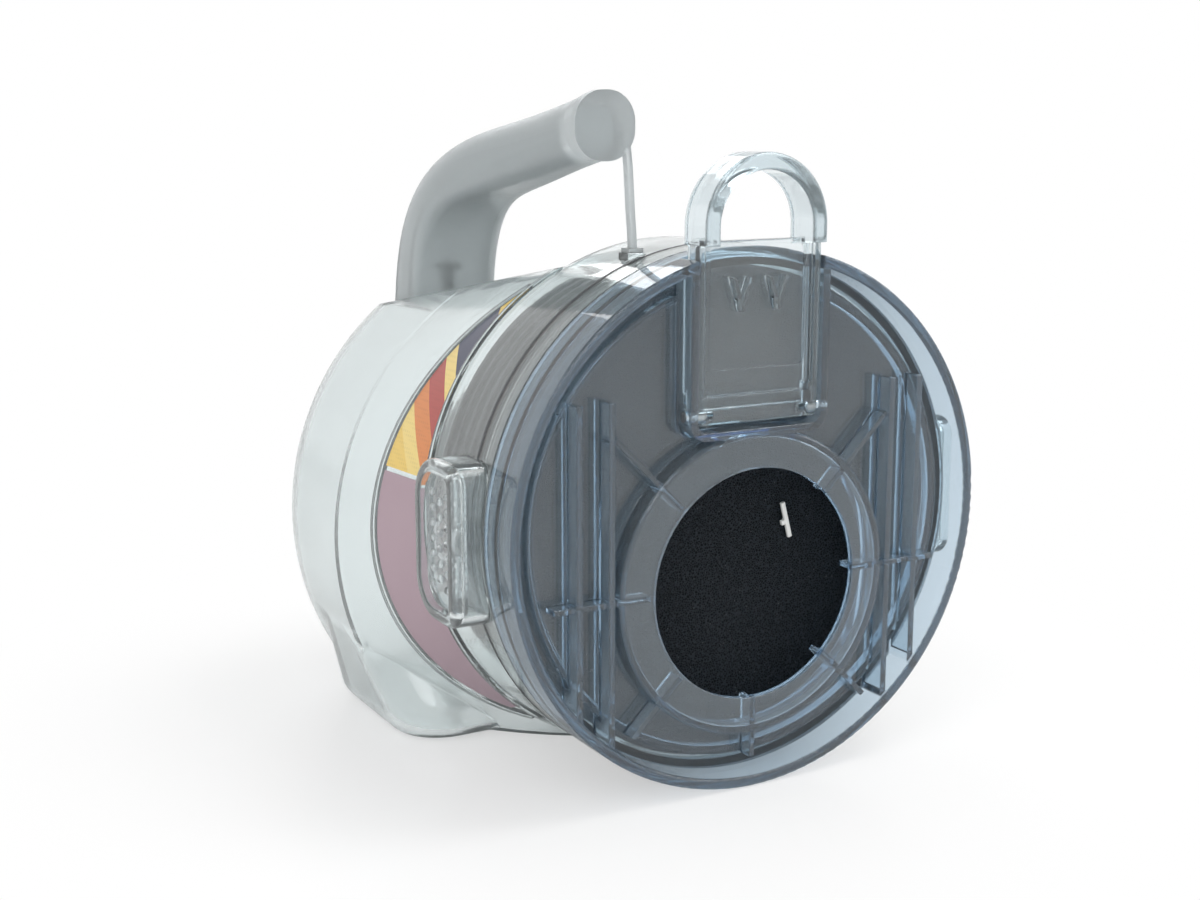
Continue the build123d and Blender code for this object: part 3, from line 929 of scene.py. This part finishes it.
@dataclass
class FilterSleeve:
    """The dark ribbed sleeve that stands on the neck's ledge around the filter basket; sizes in mm."""

    radius: float = 66.4
    front: float = 26.9
    back: float = 58.0
    wall: float = 1.4
    rise: float = 1.3
    rounding: float = 0.3
    sides: int = 128
    ribs: tuple[tuple[float, float], ...] = (
        (26.9, 29.0),
        (32.0, 33.6),
        (36.8, 38.4),
        (41.6, 43.2),
        (46.4, 48.0),
        (51.2, 52.8),
        (55.6, 58.0),
    )

    def build(self, palette: Palette) -> bpy.types.Object:
        """Models the tube, raises its ring ribs and dresses it.

        Args:
            palette: The finishes.

        Returns:
            The sleeve.
        """
        Bench.clear()
        bpy.ops.mesh.primitive_cylinder_add(
            vertices=self.sides,
            radius=self.radius * MM,
            depth=(self.back - self.front) * MM,
            end_fill_type="NOTHING",
            location=spot(0.0, (self.front + self.back) / 2, 0.0),
            rotation=ALONG_AXIS,
        )
        sleeve = Bench.take("filter_sleeve")
        Bench.settle(sleeve)
        for place in sorted({y for rib in self.ribs for y in rib} - {self.front, self.back}):
            Bench.pick(sleeve, "FACE", lambda f: True)
            bpy.ops.mesh.bisect(plane_co=spot(0.0, place, 0.0), plane_no=(0.0, 1.0, 0.0))
        rows = [(spot(0.0, low, 0.0).y, spot(0.0, high, 0.0).y) for low, high in self.ribs]
        Bench.pick(
            sleeve,
            "FACE",
            lambda f: any(low < f.calc_center_median().y < high for low, high in rows),
        )
        bpy.ops.mesh.extrude_region_shrink_fatten(
            MESH_OT_extrude_region={}, TRANSFORM_OT_shrink_fatten={"value": self.rise * MM}
        )
        Bench.clear()
        Bench.apply(sleeve, "SOLIDIFY", thickness=self.wall * MM, offset=-1.0)
        Bench.apply(sleeve, "BEVEL", width=self.rounding * MM, segments=EDGE_STEPS, limit_method="ANGLE")
        Bench.settle(sleeve)
        palette.dress(sleeve, "basket_grey")
        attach(sleeve, Body.BIN.value)
        LOG.info("piece %s", sleeve.name)
        return sleeve


@dataclass
class ArmScrew:
    """The screw that holds the hollow arm down on the drum, seen dimly through its wall; sizes in mm."""

    at: Point = (-35.0, 127.4, 54.5)
    shank: float = 2.1
    head: float = 4.0
    stand: float = 6.6
    cap: float = 2.6
    recess: float = 1.9
    recess_depth: float = 1.3
    rounding: float = 0.3
    sides: int = 32

    def build(self, palette: Palette) -> bpy.types.Object:
        """Models the head, its recess and the shank, and dresses them.

        Args:
            palette: The finishes.

        Returns:
            The screw.
        """
        Bench.clear()
        x, y, z = self.at
        bpy.ops.mesh.primitive_cylinder_add(
            vertices=self.sides,
            radius=self.head * MM,
            depth=self.cap * MM,
            location=spot(x, y, z + self.stand + self.cap / 2),
        )
        screw = Bench.take("arm_screw")
        Bench.pick(screw, "FACE", lambda f: f.normal.z > FACING)
        bpy.ops.mesh.inset(thickness=(self.head - self.recess) * MM)
        sink = (0.0, 0.0, -self.recess_depth * MM)
        bpy.ops.mesh.extrude_region_move(TRANSFORM_OT_translate={"value": sink})
        Bench.pick(screw, "FACE", lambda f: f.normal.z < -FACING)
        bpy.ops.mesh.inset(thickness=(self.head - self.shank) * MM)
        bpy.ops.mesh.extrude_region_move(TRANSFORM_OT_translate={"value": (0.0, 0.0, -self.stand * MM)})
        Bench.settle(screw)
        Bench.apply(screw, "BEVEL", width=self.rounding * MM, segments=EDGE_STEPS, limit_method="ANGLE")
        Bench.settle(screw)
        palette.dress(screw, "bright_steel")
        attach(screw, Body.BIN.value)
        LOG.info("piece %s", screw.name)
        return screw


@dataclass
class FoamPad:
    """The round foam filter behind the lid: a die-cut disc with an open-cell face; sizes in mm."""

    radius: float = 69.2
    front: float = 12.1
    back: float = 22.3
    edge: float = 1.4
    edge_steps: int = 3
    voxel: float = 0.72
    depth: float = 0.4
    cell: float = 1.3
    smooth: float = 180.0
    sides: int = 96

    def build(self, palette: Palette) -> bpy.types.Object:
        """Models the disc, opens its cells and dresses it.

        Args:
            palette: The finishes.

        Returns:
            The foam disc.
        """
        Bench.clear()
        bpy.ops.mesh.primitive_cylinder_add(
            vertices=self.sides,
            radius=self.radius * MM,
            depth=(self.back - self.front) * MM,
            location=spot(0.0, (self.front + self.back) / 2, 0.0),
            rotation=ALONG_AXIS,
        )
        pad = Bench.take("foam_pad")
        # The rims are the edges that border a cap, the only faces with more than four corners.
        Bench.pick(pad, "EDGE", lambda e: any(len(f.verts) > 4 for f in e.link_faces))
        bpy.ops.mesh.bevel(offset=self.edge * MM, segments=self.edge_steps, affect="EDGES")
        Bench.settle(pad)
        Bench.apply(pad, "REMESH", mode="VOXEL", voxel_size=self.voxel * MM, use_smooth_shade=True)
        pores = bpy.data.textures.new("foam_pores", "VORONOI")
        pores.noise_scale = self.cell * MM
        pores.distance_metric = "DISTANCE"
        Bench.apply(
            pad,
            "DISPLACE",
            texture=pores,
            texture_coords="LOCAL",
            strength=self.depth * MM,
            mid_level=1.0,
            direction="NORMAL",
        )
        Bench.settle(pad, self.smooth)
        palette.dress(pad, "open_cell_foam")
        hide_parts("foam_filter")
        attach(pad, Body.LID.value)
        LOG.info("piece %s", pad.name)
        return pad


@dataclass
class LidCover:
    """The blue clear lid with its seal, pins and foam tag."""

    finishes: dict[str, str] = field(
        default_factory=lambda: {
            "lid_shell": "blue_clear",
            "lid_seal": "seam_rubber",
            "lever_pin_left": "bright_steel",
            "lever_pin_right": "bright_steel",
            "foam_tag": "white_nylon",
        }
    )
    foam: FoamPad = field(default_factory=FoamPad)

    def dress(self, nodes: dict[str, bpy.types.Object], palette: Palette) -> None:
        """Gives the lid's solids their finishes and adds the foam.

        Args:
            nodes: The CAD nodes by name.
            palette: The finishes.
        """
        for name, finish in self.finishes.items():
            palette.dress(nodes[name], finish)
            LOG.info("solid %s wears %s", name, finish)
        self.foam.build(palette)


@dataclass
class Controls:
    """The pull lever and the two side grips with their springs."""

    finishes: dict[str, str] = field(
        default_factory=lambda: {
            "pull_lever": "lever_clear",
            "grip_button_left": "grip_clear",
            "grip_button_right": "grip_clear",
        }
    )

    def dress(self, nodes: dict[str, bpy.types.Object], palette: Palette) -> None:
        """Gives the controls their finishes and adds the springs.

        Args:
            nodes: The CAD nodes by name.
            palette: The finishes.
        """
        for name, finish in self.finishes.items():
            palette.dress(nodes[name], finish)
            LOG.info("solid %s wears %s", name, finish)
        PressCoil("left", Body.GRIP_LEFT, -1.0).build(nodes, palette)
        PressCoil("right", Body.GRIP_RIGHT, 1.0).build(nodes, palette)


@dataclass
class PressCoil:
    """The coil behind a side grip, which shortens between the neck and the press cap; sizes in mm."""

    side: str
    grip: Body
    sign: float
    foot: Point = (75.4, 29.8, -1.0)
    length: float = 4.0
    smooth: float = 60.0

    def build(self, nodes: dict[str, bpy.types.Object], palette: Palette) -> bpy.types.Object:
        """Copies the coil and dresses it.

        Args:
            nodes: The CAD nodes by name.
            palette: The finishes.

        Returns:
            The coil.
        """
        node = "grip_spring_" + self.side
        coil = Bench.copy(nodes[node], "press_coil_" + self.side)
        Bench.settle(coil, self.smooth)
        palette.dress(coil, "bright_steel")
        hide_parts(node)
        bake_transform(coil)
        LOG.info("piece %s", coil.name)
        return coil


@dataclass(frozen=True)
class Lamp:
    """One soft square lamp: its place and side in metres and its power in watts."""

    name: str
    place: Point
    size: float
    power: float


@dataclass
class Studio:
    """Pale floor, bright horizon, soft lamps and the camera."""

    lamps: tuple[Lamp, ...] = (
        Lamp("key_lamp", (-0.9, -0.7, 1.25), 0.9, 8.0),
        Lamp("edge_lamp", (0.55, -0.25, 1.05), 0.55, 5.0),
        Lamp("side_lamp", (1.1, -0.5, 0.8), 0.7, 4.0),
        Lamp("back_lamp", (0.3, 1.1, 1.1), 0.8, 5.0),
    )
    aim_at: Point = (0.0, -0.03, 0.09)
    camera_at: Point = (-0.2554, -0.4730, 0.1847)
    right: Point = (0.8750, -0.4840, 0.0)
    forward: Point = (0.475, 0.858, -0.194)
    lens: float = 51.0
    sensor: float = 36.0
    near: float = 0.01
    floor_half: float = 6.0
    floor_drop: float = 0.0002
    floor_colour: Colour = (0.90, 0.90, 0.90)
    floor_rough: float = 0.28
    floor_shine: float = 0.35
    # Distances from the bin between which the floor goes from partly to wholly white.
    shadow_reach: Range = (0.08, 0.21)
    shadow_white: float = 0.50
    # Heights of the sky between which it goes from white to the ceiling's level.
    horizon: Range = (0.35, 0.85)
    ceiling: float = 0.22

    def build(self) -> None:
        """Builds the floor, the world, the lamps and the camera."""
        self.build_floor()
        self.build_world()
        for lamp in self.lamps:
            self.build_lamp(lamp)
        self.build_camera()

    def build_floor(self) -> None:
        """Makes the pale floor under the bin."""
        Bench.clear()
        bpy.ops.mesh.primitive_plane_add(size=2 * self.floor_half, location=(0.0, 0.0, -self.floor_drop))
        floor = Bench.take("floor")
        Bench.settle(floor)
        material = bpy.data.materials.new("pale_floor")
        material.use_nodes = True
        graph = Graph(material.node_tree)
        out = graph.add("ShaderNodeOutputMaterial")
        shader = graph.add("ShaderNodeBsdfPrincipled")
        shader.inputs["Base Color"].default_value = (*self.floor_colour, 1.0)
        shader.inputs["Roughness"].default_value = self.floor_rough
        shader.inputs["Specular IOR Level"].default_value = self.floor_shine
        path = graph.add("ShaderNodeLightPath")
        seen = graph.math("MAXIMUM", path.outputs["Is Camera Ray"], path.outputs["Is Transmission Ray"])
        place = graph.add("ShaderNodeTexCoord")
        away = graph.add("ShaderNodeVectorMath", operation="LENGTH")
        graph.join(place.outputs["Object"], away.inputs[0])
        open_floor = graph.span(away.outputs["Value"], *self.shadow_reach, self.shadow_white, 1.0)
        white = graph.add("ShaderNodeEmission")
        white.inputs["Color"].default_value = (1.0, 1.0, 1.0, 1.0)
        mixed = graph.add("ShaderNodeMixShader")
        graph.join(graph.math("MULTIPLY", seen, open_floor), mixed.inputs[0])
        graph.join(shader.outputs["BSDF"], mixed.inputs[1])
        graph.join(white.outputs["Emission"], mixed.inputs[2])
        graph.join(mixed.outputs["Shader"], out.inputs["Surface"])
        floor.data.materials.append(material)

    def build_world(self) -> None:
        """Makes a white horizon under a darker ceiling, and plain white where the camera looks."""
        world = bpy.data.worlds.new("studio")
        bpy.context.scene.world = world
        world.use_nodes = True
        graph = Graph(world.node_tree)
        out = graph.add("ShaderNodeOutputWorld")
        back = graph.add("ShaderNodeBackground")
        place = graph.add("ShaderNodeTexCoord")
        parts = graph.add("ShaderNodeSeparateXYZ")
        graph.join(place.outputs["Generated"], parts.inputs["Vector"])
        height = graph.span(parts.outputs["Z"], *self.horizon, 1.0, self.ceiling)
        path = graph.add("ShaderNodeLightPath")
        level = graph.math("MAXIMUM", height, path.outputs["Is Camera Ray"])
        graph.join(level, back.inputs["Strength"])
        back.inputs["Color"].default_value = (1.0, 1.0, 1.0, 1.0)
        graph.join(back.outputs["Background"], out.inputs["Surface"])

    def build_lamp(self, lamp: Lamp) -> None:
        """Makes one lamp that faces the bin.

        Args:
            lamp: The lamp's values.
        """
        data = bpy.data.lights.new(lamp.name, "AREA")
        data.size = lamp.size
        data.energy = lamp.power
        light = bpy.data.objects.new(lamp.name, data)
        bpy.context.scene.collection.objects.link(light)
        aim = Vector(self.aim_at) - Vector(lamp.place)
        light.location = lamp.place
        light.rotation_euler = aim.to_track_quat("-Z", "Y").to_euler()

    def build_camera(self) -> None:
        """Stands the camera where the bin's outline matches, level and without shift."""
        data = bpy.data.cameras.new("camera")
        data.sensor_fit = "HORIZONTAL"
        data.sensor_width = self.sensor
        data.lens = self.lens
        data.clip_start = self.near
        camera = bpy.data.objects.new("camera", data)
        bpy.context.scene.collection.objects.link(camera)
        ahead = Vector(self.forward).normalized()
        side = Vector(self.right).normalized()
        above = side.cross(ahead).normalized()
        turn = Matrix((side, above, -ahead)).transposed().to_4x4()
        turn.translation = Vector(self.camera_at)
        camera.matrix_world = turn
        bpy.context.scene.camera = camera


def main() -> None:
    """Builds the dressed dust bin and its studio, in order."""
    logging.basicConfig(level=logging.INFO, format="%(name)s: %(message)s")
    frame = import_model()
    Bench.clear()
    bpy.context.scene.view_settings.view_transform = "Standard"
    palette = Palette()
    palette.build()
    BinBody().dress(frame["nodes"], palette)
    LidCover().dress(frame["nodes"], palette)
    Controls().dress(frame["nodes"], palette)
    Studio().build()


if __name__ == "__main__":
    main()
